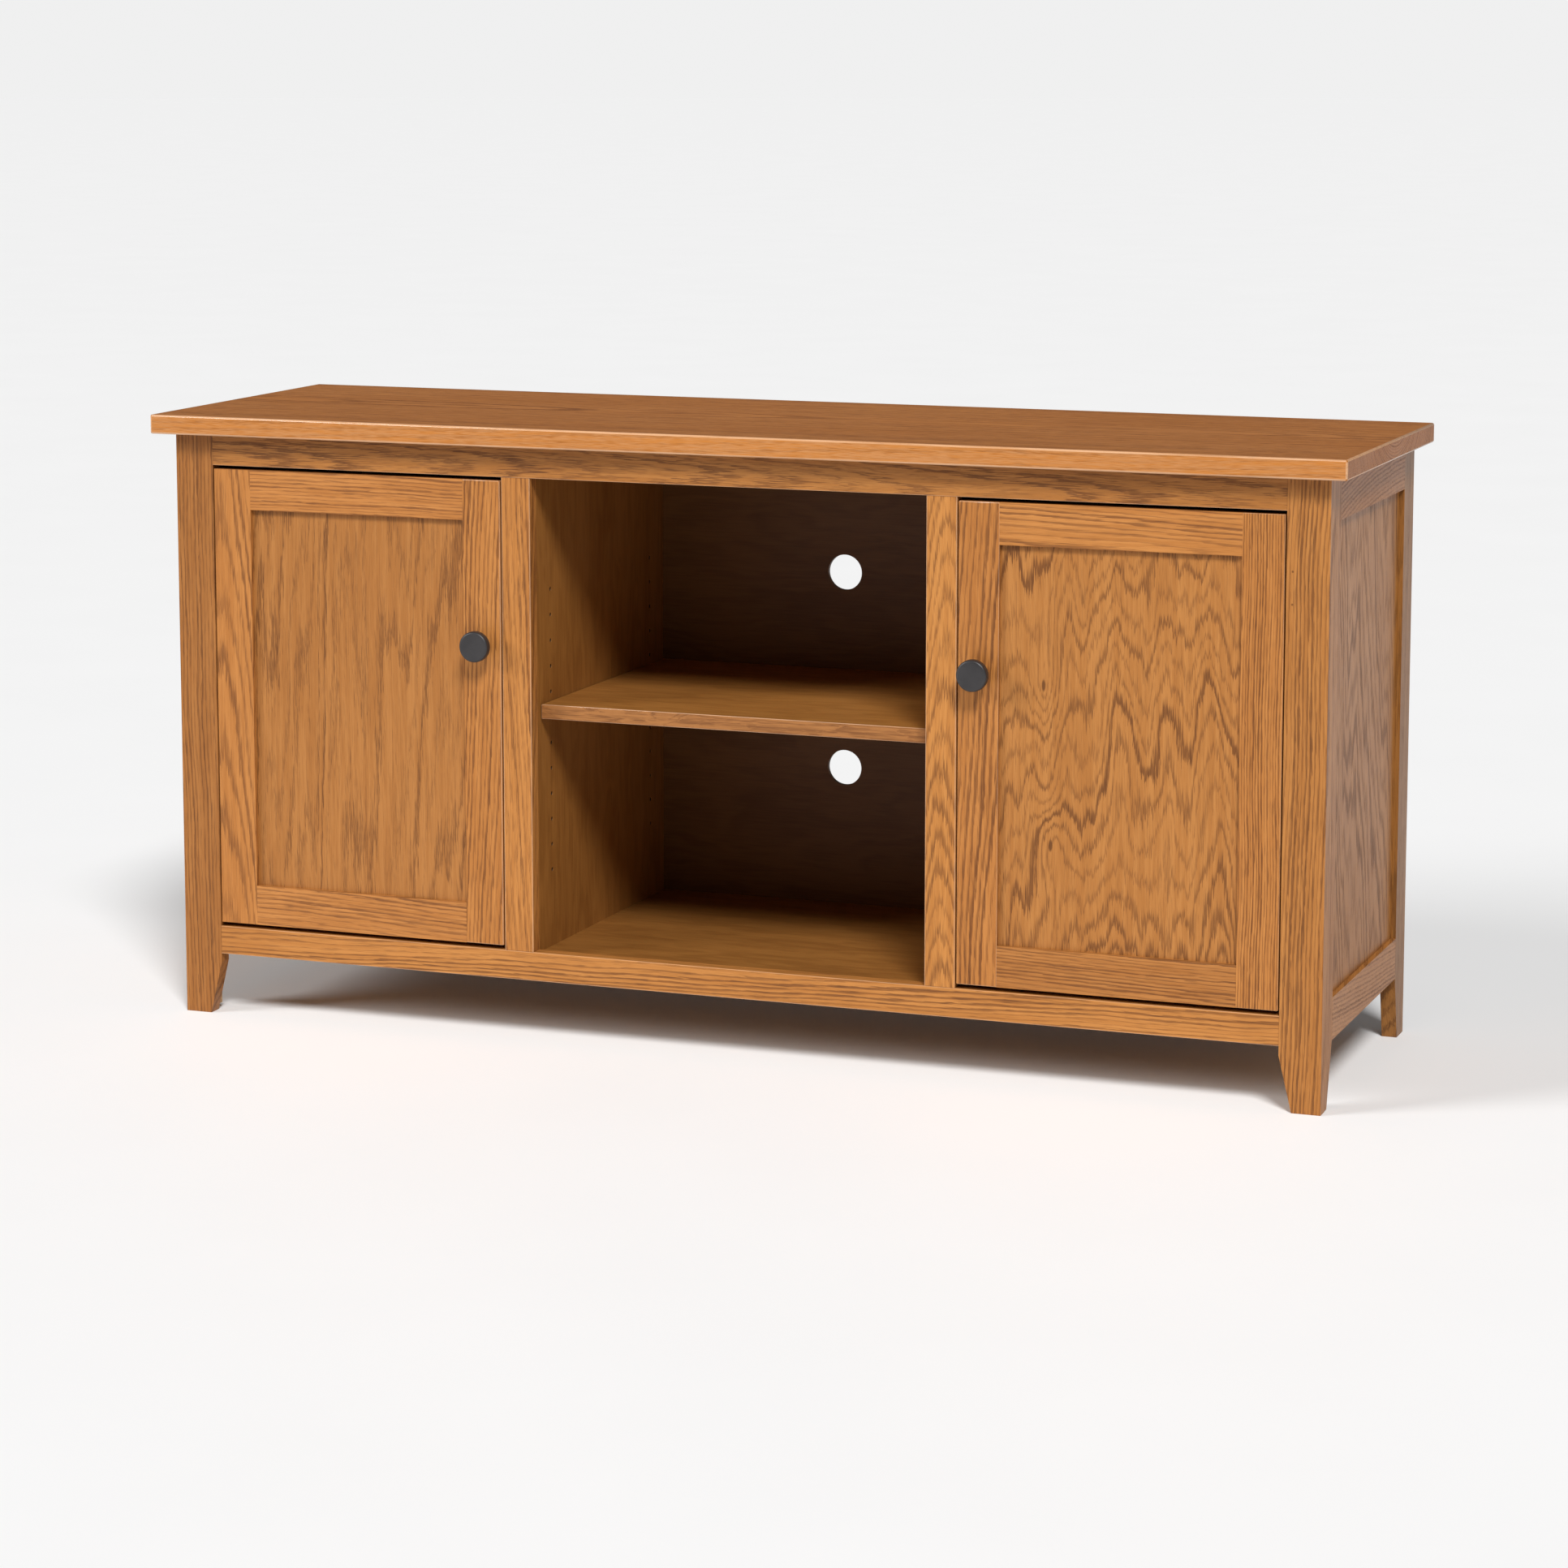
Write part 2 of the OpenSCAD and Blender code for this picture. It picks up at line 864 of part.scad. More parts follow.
module right_door_bottom_rail() {
    color(oak_dark) placed() door_bottom_rail();
}

module left_door_panel() {
    color(oak_panel) placed("left") door_panel();
}

module right_door_panel() {
    color(oak_panel) placed() door_panel();
}

module left_door_knob() {
    color(graphite) placed("left") knob();
}

module right_door_knob() {
    color(graphite) placed() knob();
}

module left_door_knob_screw() {
    color(steel) placed("left") knob_screw();
}

module right_door_knob_screw() {
    color(steel) placed() knob_screw();
}

module left_door_hinge_cups() {
    color(steel) placed("left") hinge_cups();
}

module right_door_hinge_cups() {
    color(steel) placed() hinge_cups();
}

module left_door_hinge_pins() {
    color(steel) placed("left") hinge_pins();
}

module right_door_hinge_pins() {
    color(steel) placed() hinge_pins();
}

module left_door_cup_screws() {
    color(steel) placed("left") cup_screws();
}

module right_door_cup_screws() {
    color(steel) placed() cup_screws();
}

module left_door_strike_plate() {
    color(steel) placed("left") strike_plate();
}

module right_door_strike_plate() {
    color(steel) placed() strike_plate();
}

// Hinge arms: each runs from its pin, out of the cup, round the door's edge to the stile

module hinge_arm() {
    end_angle = arm_angle + 4;
    sweep_x = 2 * arm_out_r * sin(end_angle);
    sweep_y = 2 * arm_out_r * cos(end_angle);
    difference() {
        union() {
            cylinder(h = arm_h, r = eye_r);
            rotate([0, 0, arm_angle]) translate([-arm_t / 2, 0, 0])
                cube([arm_t, arm_in_r + arm_t / 2, arm_h]);
            intersection() {
                difference() {
                    cylinder(h = arm_h, r = arm_out_r, $fn = 96);
                    translate([0, 0, -past]) cylinder(h = arm_h + 2 * past, r = arm_in_r, $fn = 96);
                }
                linear_extrude(arm_h) polygon([
                    [0, 0],
                    [0, arm_seat],
                    [2 * arm_out_r, arm_seat],
                    [2 * arm_out_r, 2 * arm_out_r],
                    [-sweep_x, 2 * arm_out_r],
                    [-sweep_x, sweep_y]
                ]);
            }
        }
        translate([0, 0, -past]) cylinder(h = arm_h + 2 * past, r = pin_r + pin_fit);
    }
}

module hinge_arms() {
    for (z = hinge_z) {
        translate([pin_x, pin_depth, z - arm_h / 2]) hinge_arm();
        difference() {
            board(
                [arm_plate_x, board_t, z - arm_plate_h / 2],
                [stile_in_x + arm_plate_w, board_t + arm_t, z + arm_plate_h / 2]
            );
            for (step = [-1, 1])
                rod_y(
                    [arm_screw_x, board_t - past, z + step * arm_screw_z],
                    arm_t + 2 * past,
                    hinge_screw_r + screw_clearance
                );
        }
    }
}

module left_hinge_arms() {
    color(steel) placed("left") hinge_arms();
}

module right_hinge_arms() {
    color(steel) placed() hinge_arms();
}

module hinge_arm_screws() {
    color(steel) placed() both_sides()
        for (z = hinge_z, step = [-1, 1])
            screw_forward(
                [arm_screw_x, board_t + arm_t, z + step * arm_screw_z],
                arm_t + hinge_screw_bite - past,
                hinge_screw_r,
                hinge_screw_head_r,
                hinge_screw_head_t
            );
}

// Catches

module magnet_pocket(slack) {
    board(
        [divider_x + catch_l - magnet_end - magnet_l, catch_y - slack, catch_z - magnet_h / 2],
        [divider_x + catch_l - magnet_end, catch_y + magnet_d, catch_z + magnet_h / 2]
    );
}

module magnetic_catches() {
    color(white_plastic) placed() both_sides() difference() {
        union() {
            board(
                [divider_x, catch_y, catch_z - catch_h / 2],
                [divider_x + catch_l, catch_y + catch_d, catch_z + catch_h / 2]
            );
            board(
                [divider_x, catch_y, catch_z - catch_flange_h / 2],
                [divider_x + catch_flange_t, catch_y + catch_d, catch_z + catch_flange_h / 2]
            );
        }
        magnet_pocket(past);
        catch_screw_places()
            translate([0, 0, -past])
                cylinder(h = catch_flange_t + 2 * past, r = back_screw_r + screw_clearance);
    }
}

module catch_magnets() {
    color(graphite) placed() both_sides() magnet_pocket(0);
}

module catch_screws() {
    color(steel) placed() both_sides() catch_screw_places() {
        translate([0, 0, -hinge_screw_bite / 2 + past])
            cylinder(h = hinge_screw_bite / 2 - past + catch_flange_t, r = back_screw_r);
        translate([0, 0, catch_flange_t])
            cylinder(h = back_screw_head_t, r = back_screw_head_r - 0.5);
    }
}

top_panel();
left_face_stile();
right_face_stile();
left_centre_stile();
right_centre_stile();
face_top_rail();
face_bottom_rail();
left_side_front_stile();
left_side_back_stile();
left_side_top_rail();
left_side_bottom_rail();
left_side_panel();
right_side_front_stile();
right_side_back_stile();
right_side_top_rail();
right_side_bottom_rail();
right_side_panel();
left_divider();
right_divider();
floor_panel();
back_panel();
front_stretcher();
back_stretcher();
floor_cleats();
foot_blocks();
top_screws();
back_panel_screws();
left_shelf();
right_shelf();
shelf_cleats();
centre_shelf_supports();
left_hinge_arms();
right_hinge_arms();
hinge_arm_screws();
magnetic_catches();
catch_magnets();
catch_screws();
centre_shelf();
left_door_hinge_stile();
left_door_lock_stile();
left_door_top_rail();
left_door_bottom_rail();
left_door_panel();
left_door_knob();
left_door_knob_screw();
left_door_hinge_cups();
left_door_hinge_pins();
left_door_cup_screws();
left_door_strike_plate();
right_door_hinge_stile();
right_door_lock_stile();
right_door_top_rail();
right_door_bottom_rail();
right_door_panel();
right_door_knob();
right_door_knob_screw();
right_door_hinge_cups();
right_door_hinge_pins();
right_door_cup_screws();
right_door_strike_plate();
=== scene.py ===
"""The media cabinet's visual model: stained oak frames and top, stained plywood inside, graphite knobs."""

import json
import math

import bpy
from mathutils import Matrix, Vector
from mathutils.bvhtree import BVHTree

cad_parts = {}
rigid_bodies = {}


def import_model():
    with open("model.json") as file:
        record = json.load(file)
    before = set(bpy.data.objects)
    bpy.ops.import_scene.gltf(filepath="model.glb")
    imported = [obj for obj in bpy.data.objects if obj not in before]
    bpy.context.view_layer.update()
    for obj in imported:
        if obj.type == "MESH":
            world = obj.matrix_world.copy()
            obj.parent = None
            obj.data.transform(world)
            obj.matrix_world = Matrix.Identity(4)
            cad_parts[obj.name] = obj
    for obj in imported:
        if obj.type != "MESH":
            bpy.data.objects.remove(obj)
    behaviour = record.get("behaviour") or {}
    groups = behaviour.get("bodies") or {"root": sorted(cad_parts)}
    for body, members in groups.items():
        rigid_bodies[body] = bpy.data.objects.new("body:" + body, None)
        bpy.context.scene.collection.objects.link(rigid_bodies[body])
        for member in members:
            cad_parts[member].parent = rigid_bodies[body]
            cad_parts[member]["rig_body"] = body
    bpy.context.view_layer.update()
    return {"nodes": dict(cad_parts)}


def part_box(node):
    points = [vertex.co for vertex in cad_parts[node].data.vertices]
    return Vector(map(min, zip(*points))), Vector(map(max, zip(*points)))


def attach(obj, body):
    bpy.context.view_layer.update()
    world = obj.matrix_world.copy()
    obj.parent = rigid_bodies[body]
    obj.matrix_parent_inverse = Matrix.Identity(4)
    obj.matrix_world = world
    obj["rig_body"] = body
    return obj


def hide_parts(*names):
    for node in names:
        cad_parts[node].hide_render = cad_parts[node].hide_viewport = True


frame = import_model()

MM = 0.001
QUARTER = math.pi / 2

# ---------------------------------------------------------------- maths on sockets


class Value:
    """A number that varies over a surface. Sums and products of values add their Math nodes."""

    def __init__(self, finish, socket):
        self.finish = finish
        self.socket = socket

    def maths(self, operation, *numbers):
        """The result of one Math node on the given numbers."""
        return self.finish.node("Math", {"operation": operation}, dict(enumerate(numbers)))

    def __add__(self, other):
        return self.maths("ADD", self, other)

    def __sub__(self, other):
        return self.maths("SUBTRACT", self, other)

    def __rsub__(self, other):
        return self.maths("SUBTRACT", other, self)

    def __mul__(self, other):
        return self.maths("MULTIPLY", self, other)

    def __truediv__(self, other):
        return self.maths("DIVIDE", self, other)

    __radd__ = __add__
    __rmul__ = __mul__


class Finish:
    """The node tree of one material, with the surface shader that its values feed."""

    def __init__(self, name, **shader):
        self.material = bpy.data.materials.new(name)
        self.material.use_nodes = True
        self.tree = self.material.node_tree
        self.tree.nodes.clear()
        self.shader = self.tree.nodes.new("ShaderNodeBsdfPrincipled")
        for socket, number in shader.items():
            self.shader.inputs[socket.replace("_", " ")].default_value = number
        output = self.tree.nodes.new("ShaderNodeOutputMaterial")
        self.tree.links.new(self.shader.outputs[0], output.inputs["Surface"])

    def node(self, kind, settings=None, sockets=None, output=0):
        """Adds a node, gives it its settings and then its sockets, and returns one of its outputs."""
        made = self.tree.nodes.new("ShaderNode" + kind)
        for name, setting in (settings or {}).items():
            setattr(made, name, setting)
        for name, given in (sockets or {}).items():
            if isinstance(given, Value):
                self.tree.links.new(given.socket, made.inputs[name])
            else:
                made.inputs[name].default_value = given
        return Value(self, made.outputs[output])

    def noise(self, x, y, z, detail=2.0, rough=0.5):
        """Smooth noise from 0 to 1 at a point, one unit across."""
        point = self.node("CombineXYZ", None, {0: x, 1: y, 2: z})
        sockets = {"Vector": point, "Scale": 1.0, "Detail": detail, "Roughness": rough}
        return self.node("TexNoise", None, sockets)

    def ramp(self, number, low, high, start=0.0, end=1.0):
        """A smooth step from start to end as the number goes from low to high."""
        sockets = {0: number, 1: low, 2: high, 3: start, 4: end}
        return self.node("MapRange", {"interpolation_type": "SMOOTHSTEP"}, sockets)

    def blend(self, share, first, second):
        """The first colour where the share is 0, and the second where it is 1."""
        colours = [c if isinstance(c, Value) else (*c, 1) for c in (first, second)]
        return self.node("Mix", {"data_type": "RGBA"}, {0: share, 6: colours[0], 7: colours[1]}, 2)

    def place(self, centre, turn=(0, 0, 0)):
        """The object's own coordinates from a centre, turned so that the grain runs along the third."""
        own = self.node("TexCoord", None, None, "Object")
        centred = self.node("Mapping", None, {"Vector": own, "Location": [-c for c in centre]})
        turned = self.node("Mapping", None, {"Vector": centred, "Rotation": turn})
        return [self.node("SeparateXYZ", None, {0: turned}, axis) for axis in range(3)]

    def feed(self, socket, value):
        """Runs a value into a socket of the surface shader."""
        self.tree.links.new(value.socket, self.shader.inputs[socket])

    def relief(self, height, depth):
        """Raises the surface by height times depth, in metres."""
        sockets = {"Height": height, "Distance": depth, "Strength": 1.0}
        self.feed("Normal", self.node("Bump", None, sockets))


# ---------------------------------------------------------------- wood

# Turns that lay the grain of a board along the third coordinate
GRAIN = {"x": (0, -QUARTER, 0), "y": (QUARTER, 0, 0), "z": (0, 0, 0), "side z": (0, 0, QUARTER)}

HONEY = (0.462, 0.188, 0.0475)
AMBER = (0.385, 0.146, 0.033)
EARLYWOOD = (0.165, 0.057, 0.0145)
PORE = (0.085, 0.026, 0.007)
# Lighter colours for the eased arrises: partly wear, partly a painted highlight on the rounded edges
RUBBED_AND_HIGHLIT_OAK = (0.70, 0.42, 0.24)
RUBBED_AND_HIGHLIT_PLY = (0.66, 0.42, 0.27)
LIP_PALE = (0.35, 0.145, 0.045)
LIP_DARK = (0.17, 0.062, 0.02)
PLY_PALE = (0.33, 0.139, 0.031)
PLY_DARK = (0.232, 0.09, 0.018)
DEEP_SHADE = (0.02, 0.008, 0.003)

NO_TONE = (1.0, 1.0, 1.0)
VARNISH_ROUGHNESS = 0.18
ARRIS_COAT = 0.6
KNOT_WIDE = 17 * MM
KNOT_LONG = 50 * MM


def toned(colour, tone):
    """A colour times a board's own tone."""
    return [c * t for c, t in zip(colour, tone)]


def rubbed_and_highlit(finish, colour, lighter, share, cloud):
    """Lightens the eased arrises, partly as wear where hands and cloths have thinned the stain and partly
    as a painted highlight of light on the rounded edge.
    """
    arris = finish.node("Attribute", {"attribute_name": "arris"}, None, 2)
    finish.feed("Coat Weight", arris * ARRIS_COAT)
    return finish.blend(arris * finish.ramp(cloud, 0.3, 0.62, share * 0.5, share), colour, lighter)


def oak(name, node, grain, figure, tone, seed):
    """Stained and varnished red oak. The figure says where the board lay in its log."""
    low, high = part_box(node)
    gloss = figure.get("gloss", 0.2)
    finish = Finish(name, Specular_IOR_Level=gloss, Coat_Roughness=VARNISH_ROUGHNESS)
    across, deep, along = finish.place((low + high) / 2, GRAIN[grain])
    run = along + seed * 1.37

    # Rings: distance from the pith, with the log's taper, bends and fibre by fibre raggedness
    lobe, reach = figure["lobe"], figure["reach"]
    bend = (finish.noise(run * 2.2, seed * 3.1, 0.5) - 0.5) * 0.02
    side = across - figure["pith"][0] + bend + along * figure.get("slant", 0.0)
    inward = deep - figure["pith"][1]
    swell = finish.noise(side * lobe, inward * 4, run * reach, 1.0)
    flame = finish.noise(side * lobe * 2.4, inward * 9, run * reach * 2.6, 2.2)
    radius = (side * side + inward * inward).maths("SQRT", side * side + inward * inward)
    fibre = finish.noise(side * 700, inward * 700, run * 22, 2.0, 0.6)
    thread = finish.noise(side * 1500, inward * 1500, run * 60, 1.0)
    rings = radius / figure["ring"] + run * figure["climb"]
    rings = rings + (swell - 0.5) * figure["swell"] + (flame - 0.5) * figure["flame"]
    rings = rings + (fibre - 0.5) * figure["ragged"] + (thread - 0.5) * figure["ragged"] * 0.4
    eyes = []
    for aside, up, turns in figure.get("knots", ()):
        off, over = (across - aside) / KNOT_WIDE, (along - up) / KNOT_LONG
        far = off * off + over * over
        rings = rings + far.maths("EXPONENT", far * -1.0) * turns
        eyes.append(finish.ramp(far, 0.006, 0.03, 1.0, 0.0))
    ring = rings.maths("FRACT", rings)
    count = rings.maths("FLOOR", rings)
    year = finish.node("TexWhiteNoise", {"noise_dimensions": "1D"}, {"W": count})
    early = figure.get("early", 0.36)
    start = finish.ramp(ring, 0.0, 0.07)
    fade = finish.ramp(ring, early * 0.35 + year * early * 0.5, early + year * early * 0.8, 1.0, 0.0)
    band = start * fade * (0.45 + year * 0.55)
    lip = None
    if "lipped" in figure:
        front = (low.y - high.y) / 2
        lip = finish.ramp(deep, front + 0.6 * MM, front + 1.4 * MM, 1.0, 0.0)
        band = band * (1.0 - lip * 0.5)

    # Pores: short dark threads along the grain, most of them in the early wood
    thin = finish.noise(side * 1150, inward * 1150, run * 38 + 5.0, 1.0, 0.4)
    pores = finish.ramp(thin, 0.55, 0.7) * (0.35 + band * 0.65)
    blotch = finish.noise(across * 9, deep * 9, run * 2.5, 3.0)
    streak = finish.noise(side * 190, inward * 190, run * 7, 4.0, 0.75)

    dark = toned(EARLYWOOD, tone)
    deepest = toned(PORE, tone)
    share = finish.ramp(streak * 0.72 + blotch * 0.28, 0.38, 0.6)
    ground = finish.blend(share, toned(HONEY, tone), toned(AMBER, tone))
    colour = finish.blend(band * figure.get("contrast", 0.85), ground, dark)
    colour = finish.blend(pores * 0.55, colour, deepest)
    if lip is not None:
        lighter = lip * finish.ramp(thread * 0.5 + streak * 0.5, 0.38, 0.62, 0.0, 0.65)
        colour = finish.blend(lighter, colour, figure["lipped"])

    # End grain takes up more stain
    half = (high - low)["xyz".index(grain[-1])] / 2
    ends = finish.ramp(along.maths("ABSOLUTE", along), half - 1.2 * MM, half - 0.4 * MM, 0.0, 0.3)
    colour = finish.blend(ends, colour, dark)
    for eye in eyes:
        colour = finish.blend(eye * 0.8, colour, deepest)
    for aside, up in figure.get("nails", ()):
        off, over = across - aside, along - up
        dot = (off * off + over * over) / (MM * MM)
        colour = finish.blend(finish.ramp(dot, 0.8, 2.5, 0.7, 0.0), colour, deepest)
    # How far the arrises are lightened, as wear and as painted highlight
    wear = figure.get("wear", 0.45)
    finish.feed("Base Color", rubbed_and_highlit(finish, colour, RUBBED_AND_HIGHLIT_OAK, wear, streak))
    finish.feed("Roughness", 0.36 + band * 0.08 + pores * 0.1 + (blotch - 0.5) * 0.12)
    finish.relief(0.6 - band * 0.25 - pores * 0.6 + streak * 0.2, 0.00025)
    return finish.material


def stained_ply(name, node, grain, tone, seed):
    """Smooth birch plywood, stained darker than the oak and varnished."""
    low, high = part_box(node)
    finish = Finish(name, Specular_IOR_Level=0.22, Coat_Roughness=VARNISH_ROUGHNESS)
    across, deep, along = finish.place((low + high) / 2, GRAIN[grain])
    run = along + seed * 1.91
    cloud = finish.noise(across * 14, deep * 14, run * 4, 3.0, 0.6)
    figure = finish.noise(across * 28 + cloud * 3, deep * 28, run * 5, 2.0)
    rings = figure * 9
    band = finish.ramp(rings.maths("PINGPONG", rings, 1.0), 0.1, 0.9)
    fibre = finish.noise(across * 600, deep * 600, run * 18, 2.0, 0.6)
    share = finish.ramp(cloud * 0.5 + band * 0.14 + fibre * 0.55, 0.4, 0.85)
    colour = finish.blend(share, toned(PLY_PALE, tone), toned(PLY_DARK, tone))
    if node.endswith("shelf"):
        front = (low.y - high.y) / 2
        lipping = finish.ramp(deep, front + 0.3 * MM, front + 0.8 * MM, 0.8, 0.0)
        ripple = finish.noise(across * 260, deep * 40, run * 14 + band, 3.0, 0.7)
        edge = finish.blend(finish.ramp(ripple, 0.4, 0.64), LIP_PALE, LIP_DARK)
        colour = finish.blend(lipping, colour, edge)
    # Lighter arrises: partly wear, partly painted highlight
    colour = rubbed_and_highlit(finish, colour, RUBBED_AND_HIGHLIT_PLY, 0.6, cloud)
    # Painted shade: the walls of the shelf-pin holes in the dividers are coloured near black
    if node.endswith("divider"):
        half = (high.x - low.x) / 2
        off_middle = across.maths("ABSOLUTE", across)
        painted_shade_in_hole = finish.ramp(off_middle, half - 0.7 * MM, half - 0.2 * MM, 0.94, 0.0)
        colour = finish.blend(painted_shade_in_hole, colour, DEEP_SHADE)
    finish.feed("Base Color", colour)
    finish.feed("Roughness", 0.38 + fibre * 0.12 + (cloud - 0.5) * 0.1)
    finish.relief(fibre * 0.5 + cloud * 0.5, 0.00012)
    return finish.material


def sawn_pine(name):
    """Plain sawn strips of pine, left without a finish."""
    finish = Finish(name, Roughness=0.75)
    x, y, z = finish.place((0, 0, 0))
    grain = finish.noise(x * 60, y * 12, z * 260, 3.0, 0.6)
    saw = finish.noise(x * 8, y * 500, z * 40, 1.0)
    share = finish.ramp(grain, 0.35, 0.7)
    colour = finish.blend(share, (0.62, 0.43, 0.24), (0.45, 0.27, 0.13))
    finish.feed("Base Color", finish.blend(saw * 0.25, colour, (0.34, 0.2, 0.1)))
    finish.feed("Roughness", 0.68 + grain * 0.2)
    finish.relief(grain * 0.6 + saw * 0.6, 0.0004)
    return finish.material


# ---------------------------------------------------------------- metal and plastic


def speckled(name, pale, dark, rough, metallic, fleck=1400, depth=0.06 * MM):
    """A hard finish with fine flecks, cloudy rubbing marks and a varying sheen."""
    finish = Finish(name, Metallic=metallic)
    x, y, z = finish.place((0, 0, 0))
    grains = finish.noise(x * fleck, y * fleck, z * fleck, 2.0, 0.6)
    cloud = finish.noise(x * 45, y * 45, z * 45, 3.0)
    share = finish.ramp(grains * 0.5 + cloud * 0.5, 0.36, 0.66)
    finish.feed("Base Color", finish.blend(share, dark, pale))
    finish.feed("Roughness", rough + (cloud - 0.5) * 0.16 + (grains - 0.5) * 0.1)
    finish.relief(grains, depth)
    return finish.material


graphite = speckled("satin_graphite", (0.039, 0.036, 0.037), (0.027, 0.025, 0.026), 0.42, 0.3)
zinc = speckled("zinc_plated_steel", (0.62, 0.62, 0.6), (0.42, 0.42, 0.42), 0.33, 1.0, 900)
white_plastic = speckled("white_catch_plastic", (0.78, 0.77, 0.73), (0.68, 0.67, 0.63), 0.48, 0.0, 700)
ferrite = speckled("ferrite", (0.05, 0.05, 0.052), (0.028, 0.028, 0.03), 0.6, 0.2, 1800, 0.1 * MM)
pine = sawn_pine("sawn_pine")

# ---------------------------------------------------------------- figures of the boards

# pith: place of the pith from the board's middle, across and deep. ring: ring spacing.
# climb: rings crossed per metre of grain. slant: how far the grain runs off across the board.
# lobe and reach: how often the figure waves across and along. swell, flame and ragged: by how
# many rings its broad waves, its small waves and its fibres move a ring.
# early: share of a ring that is dark early wood. contrast: how dark that is.
STRAIGHT = dict(ring=0.0048, climb=3.0, lobe=9, reach=1.5, swell=3.0, flame=1.6, ragged=1.1,
                early=0.4, contrast=0.95)
PLAIN = dict(ring=0.006, climb=14.0, lobe=16, reach=2.0, swell=4.0, flame=1.2, ragged=0.9)
WILD = dict(ring=0.05, climb=21.0, lobe=9, reach=1.2, swell=13.0, flame=8.0, ragged=1.2,
            contrast=0.95)


def sawn(kind, pith, **changes):
    """The figure of one board: a kind of sawing, the place of its pith, and what differs."""
    return {**kind, "pith": pith, **changes}


# ---------------------------------------------------------------- boards from the CAD solids

# Points this near each other are one point, and edges this near another node are in a joint
WELDED = 0.005 * MM
TOUCHING = 0.4 * MM
# Shorter edges are only broken
SHORT_EDGE = 1.5 * MM
# Least and greatest width of a face that is part of an eased arris, and its least length
SLIMMEST = 0.3 * MM
SLIM = 1.9 * MM
LONG_ARRIS = 16 * MM
# Larger faces are flat, and so are faces whose normal has a part above SQUARE along an axis
LARGE_FACE = 100 * MM * MM
SQUARE = 0.9999

TREES = {}
for name, solid in frame["nodes"].items():
    points = [v.co.copy() for v in solid.data.vertices]
    faces = [tuple(p.vertices) for p in solid.data.polygons]
    TREES[name] = (BVHTree.FromPolygons(points, faces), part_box(name))


def against(point, node, reach):
    """Whether a point of one node lies against any other node."""
    for name, (tree, (low, high)) in TREES.items():
        if name == node or "screw" in name:
            continue
        if all(low[i] - reach <= point[i] <= high[i] + reach for i in range(3)):
            if tree.find_nearest(point, reach)[0] is not None:
                return True
    return False


def only(piece):
    """Selects one piece and makes it active."""
    bpy.ops.object.select_all(action="DESELECT")
    piece.select_set(True)
    bpy.context.view_layer.objects.active = piece


def eased(node, name, material, arris, joint, cuts):
    """A copy of a CAD solid with its open arrises eased, and the ones at joints only broken."""
    solid = frame["nodes"][node]
    piece = bpy.data.objects.new(name, solid.data.copy())
    bpy.context.scene.collection.objects.link(piece)
    only(piece)
    bpy.ops.object.mode_set(mode="EDIT")
    bpy.ops.mesh.select_all(action="SELECT")
    bpy.ops.mesh.remove_doubles(threshold=WELDED)
    bpy.ops.mesh.dissolve_limited(angle_limit=math.radians(0.5))
    for axis, place in cuts:
        point = [0.0, 0.0, 0.0]
        point["xyz".index(axis)] = place
        normal = [0.0, 0.0, 0.0]
        normal["xyz".index(axis)] = 1.0
        bpy.ops.mesh.select_all(action="SELECT")
        bpy.ops.mesh.bisect(plane_co=point, plane_no=normal)
    bpy.ops.object.mode_set(mode="OBJECT")
    mesh = piece.data
    weights = mesh.attributes.new("bevel_weight_edge", "FLOAT", "EDGE")
    for edge in mesh.edges:
        middle = (mesh.vertices[edge.vertices[0]].co + mesh.vertices[edge.vertices[1]].co) / 2
        weights.data[edge.index].value = joint / arris if against(middle, node, TOUCHING) else 1.0
    flat = {}
    for face in mesh.polygons:
        for key in face.edge_keys:
            flat.setdefault(key, []).append(face.normal)
    for edge in mesh.edges:
        sides = flat[tuple(sorted(edge.vertices))]
        first, second = (mesh.vertices[v].co for v in edge.vertices)
        if len(sides) < 2 or sides[0].dot(sides[1]) > math.cos(math.radians(25)):
            weights.data[edge.index].value = 0.0
        elif (first - second).length < SHORT_EDGE:
            weights.data[edge.index].value = min(weights.data[edge.index].value, joint / arris)
    bevel = piece.modifiers.new("eased", "BEVEL")
    bevel.limit_method = "WEIGHT"
    bevel.width = arris
    bevel.segments = 2
    bevel.use_clamp_overlap = True
    bpy.ops.object.modifier_apply(modifier=bevel.name)
    bpy.ops.object.shade_smooth_by_angle(angle=math.radians(32))
    worn_and_highlit = mesh.attributes.new("arris", "FLOAT", "FACE")
    for face in mesh.polygons:
        broad = max(abs(part) for part in face.normal)
        points = [mesh.vertices[v].co for v in face.vertices]
        longest = max((a - b).length for a, b in zip(points, points[1:] + points[:1]))
        width = face.area / longest
        if broad > SQUARE or face.area > LARGE_FACE and width >= SLIM:
            face.use_smooth = False
        # Slim long arris faces are lightened in the material, partly as wear and partly as painted
        # highlight
        elif SLIMMEST < width < SLIM and longest > LONG_ARRIS:
            worn_and_highlit.data[face.index].value = 1.0
    piece.data.materials.clear()
    piece.data.materials.append(material)
    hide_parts(node)
    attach(piece, solid["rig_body"])


JOINT_EASING = 0.2 * MM


def rail_cuts(*rails):
    """Heights of the rails that meet a stile, so that its arris changes there."""
    return [("z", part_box(rail)[end].z) for rail in rails for end in (0, 1)]


FACE_CUTS = rail_cuts("face_top_rail", "face_bottom_rail")
SIDE_CUTS = rail_cuts("right_side_top_rail", "right_side_bottom_rail")
DOOR_CUTS = rail_cuts("right_door_top_rail", "right_door_bottom_rail")
STILE_CUTS = [("x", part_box(s + "_centre_stile")[e].x) for s in ("left", "right") for e in (0, 1)]

# Small knots: place across the panel and along it, and how many rings bend round each
RIGHT_KNOTS = ((-0.092, 0.075, 2.5), (-0.082, -0.115, -3.5))

